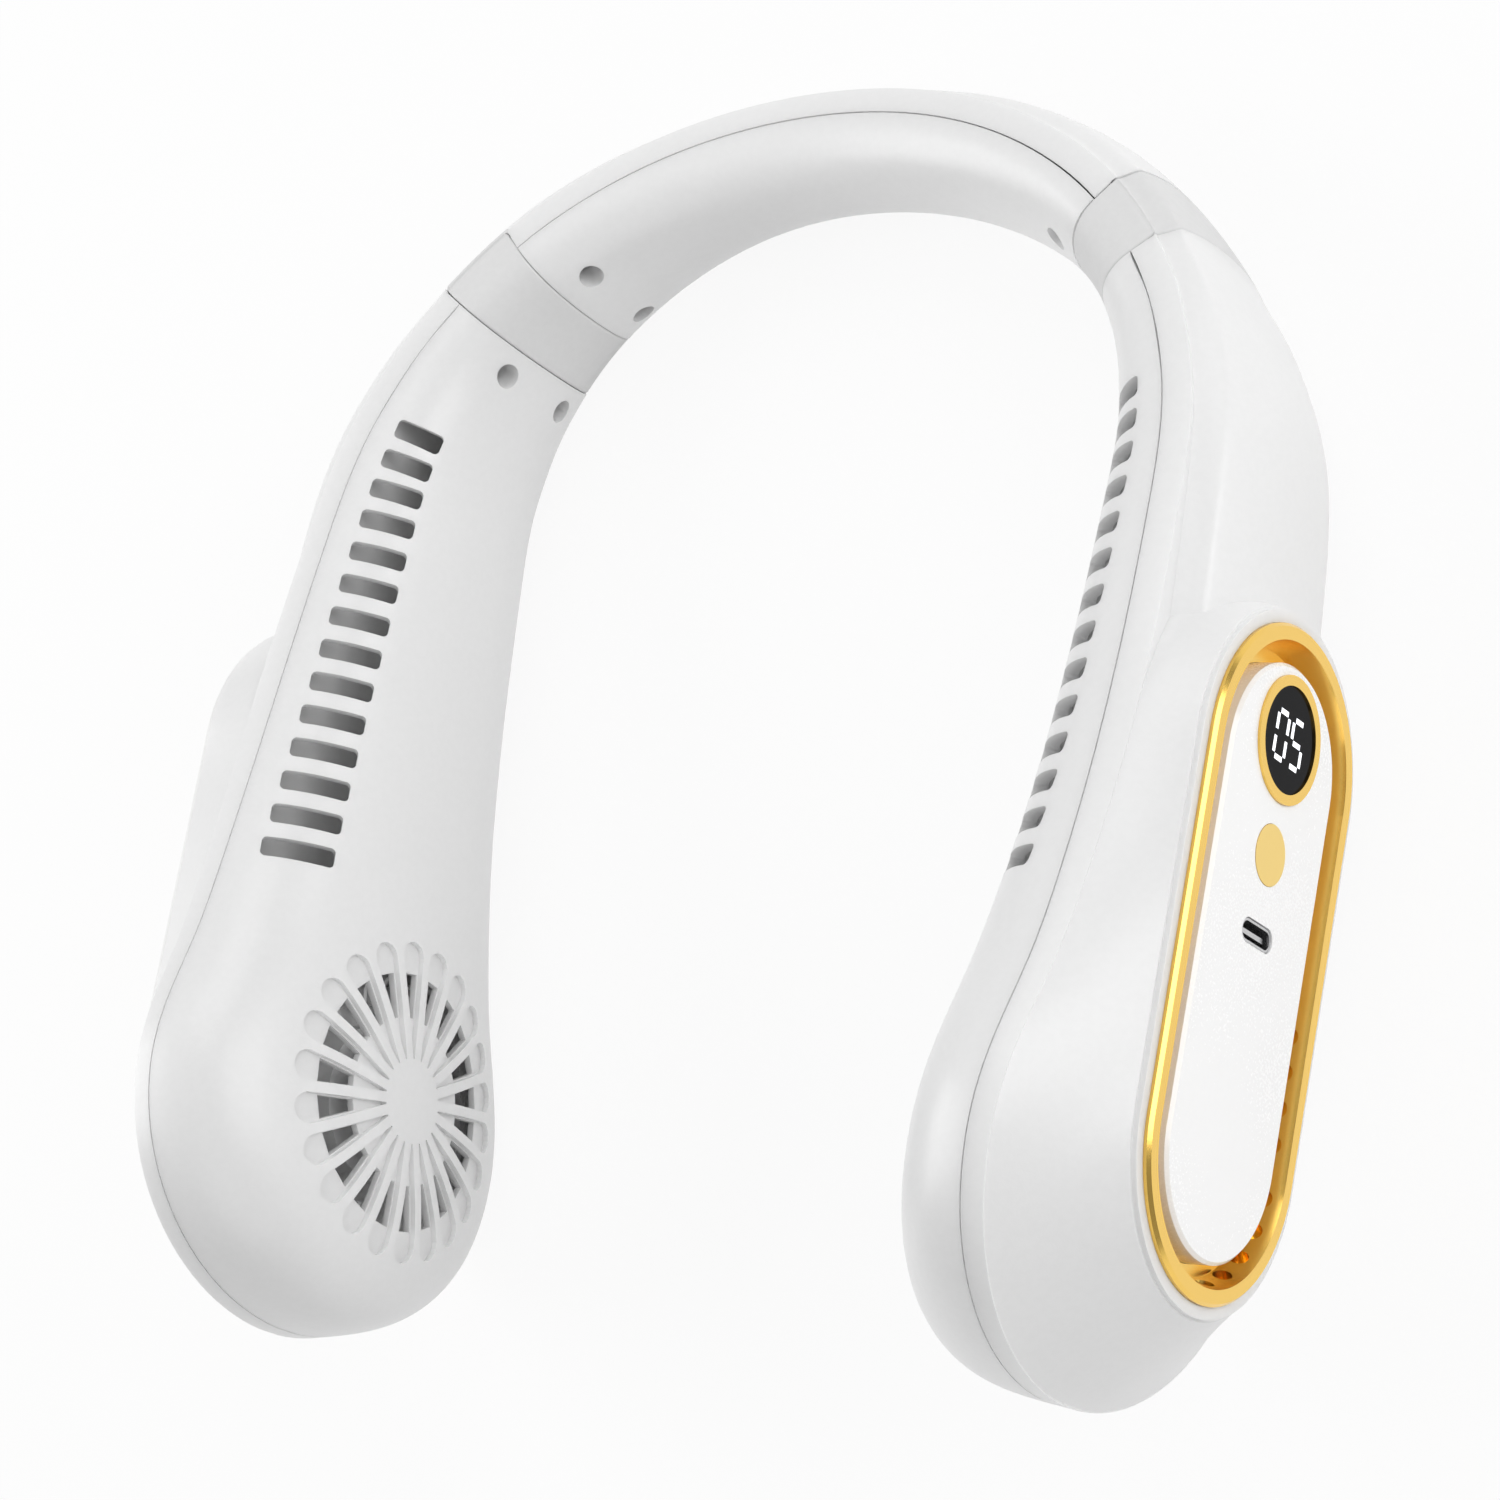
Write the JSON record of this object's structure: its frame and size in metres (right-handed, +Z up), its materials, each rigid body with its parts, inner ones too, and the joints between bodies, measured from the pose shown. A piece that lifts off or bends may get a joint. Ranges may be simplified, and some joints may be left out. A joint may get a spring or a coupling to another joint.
{
  "type": "neck fan",
  "caption": "White bladeless fan worn round the neck: a curved band, two hinged hollow arms with inlet grilles and vent slots, gold trim rings, display, power button and charging socket.",
  "frame": {"origin": "on the rest plane, below the middle of the bounding box", "axes": "+Z up from the rest plane, +Y towards the band behind the neck, +X towards the arm with the controls"},
  "size_m": [0.1796, 0.1982, 0.0761],
  "materials": {
    "shell_white": "fine satin moulding",
    "panel_white": "smooth gloss moulding",
    "trim_gold": "gold plated",
    "sleeve_silicone": "soft matt silicone",
    "inner_grey": "plain moulding",
    "impeller_grey": "plain moulding",
    "hinge_nylon": "plain moulding",
    "screw_steel": "bright steel",
    "magnet_dark": "dark coated",
    "stator_copper": "enamelled wire",
    "bearing_bronze": "sintered bronze",
    "cell_foil": "dull foil",
    "lead_black": "smooth jacket",
    "lens_black": "polished dark window",
    "digit_white": "lit light guide",
    "module_dark": "plain moulding",
    "usb_shell": "drawn steel",
    "board_green": "solder mask"
  },
  "bodies": {
    "band": {"band_inner_cover": "shell_white", "band_outer_cover": "shell_white", "band_screws": "screw_steel", "band_lead": "lead_black", "left_hinge_fork": "hinge_nylon", "left_hinge_pin": "screw_steel", "left_sleeve": "sleeve_silicone", "right_hinge_fork": "hinge_nylon", "right_hinge_pin": "screw_steel", "right_sleeve": "sleeve_silicone"},
    "left_arm": {"left_arm_inner_cover": "shell_white", "left_arm_outer_cover": "shell_white", "left_trim_ring": "trim_gold", "left_centre_panel": "panel_white", "left_divider": "inner_grey", "left_battery": "cell_foil", "left_motor_mount": "inner_grey", "left_bearing": "bearing_bronze", "left_stator": "stator_copper", "left_hinge_tongue": "hinge_nylon", "left_arm_screws": "screw_steel"},
    "right_arm": {"right_arm_inner_cover": "shell_white", "right_arm_outer_cover": "shell_white", "right_trim_ring": "trim_gold", "right_centre_panel": "panel_white", "right_divider": "inner_grey", "right_battery": "cell_foil", "right_motor_mount": "inner_grey", "right_bearing": "bearing_bronze", "right_stator": "stator_copper", "right_hinge_tongue": "hinge_nylon", "right_arm_screws": "screw_steel", "display_bezel": "trim_gold", "display_lens": "lens_black", "display_segments": "digit_white", "display_module": "module_dark", "power_switch": "module_dark", "usb_port": "usb_shell", "main_board": "board_green"},
    "left_fan": {"left_shaft": "screw_steel", "left_rotor_bell": "screw_steel", "left_rotor_magnet": "magnet_dark", "left_impeller": "impeller_grey"},
    "right_fan": {"right_shaft": "screw_steel", "right_rotor_bell": "screw_steel", "right_rotor_magnet": "magnet_dark", "right_impeller": "impeller_grey"},
    "power_button": {"power_button": "trim_gold"}
  },
  "joints": [
    {"name": "left_arm_flex", "type": "hinge", "parent": "band", "child": "left_arm", "pos_m": [-0.05637, 0.06778, 0.01607], "axis": [0, -0.1626, -0.9867], "range_deg": [-6, 22], "deforming": ["left_sleeve"]},
    {"name": "right_arm_flex", "type": "hinge", "parent": "band", "child": "right_arm", "pos_m": [0.05637, 0.06778, 0.01607], "axis": [0, 0.1626, 0.9867], "range_deg": [-6, 22], "deforming": ["right_sleeve"]},
    {"name": "left_fan_spin", "type": "hinge", "parent": "left_arm", "child": "left_fan", "pos_m": [-0.06373, -0.06262, 0.03756], "axis": [0.9958, 0.0907, -0.015], "continuous": true},
    {"name": "right_fan_spin", "type": "hinge", "parent": "right_arm", "child": "right_fan", "pos_m": [0.06373, -0.06262, 0.03756], "axis": [-0.9958, 0.0907, -0.015], "continuous": true},
    {"name": "power_press", "type": "slide", "parent": "right_arm", "child": "power_button", "axis": [-0.9999, 0.0121, -0.002], "range_m": [0, 0.0004], "stiffness_N_per_m": 3500, "springref_m": -0.0001}
  ]
}
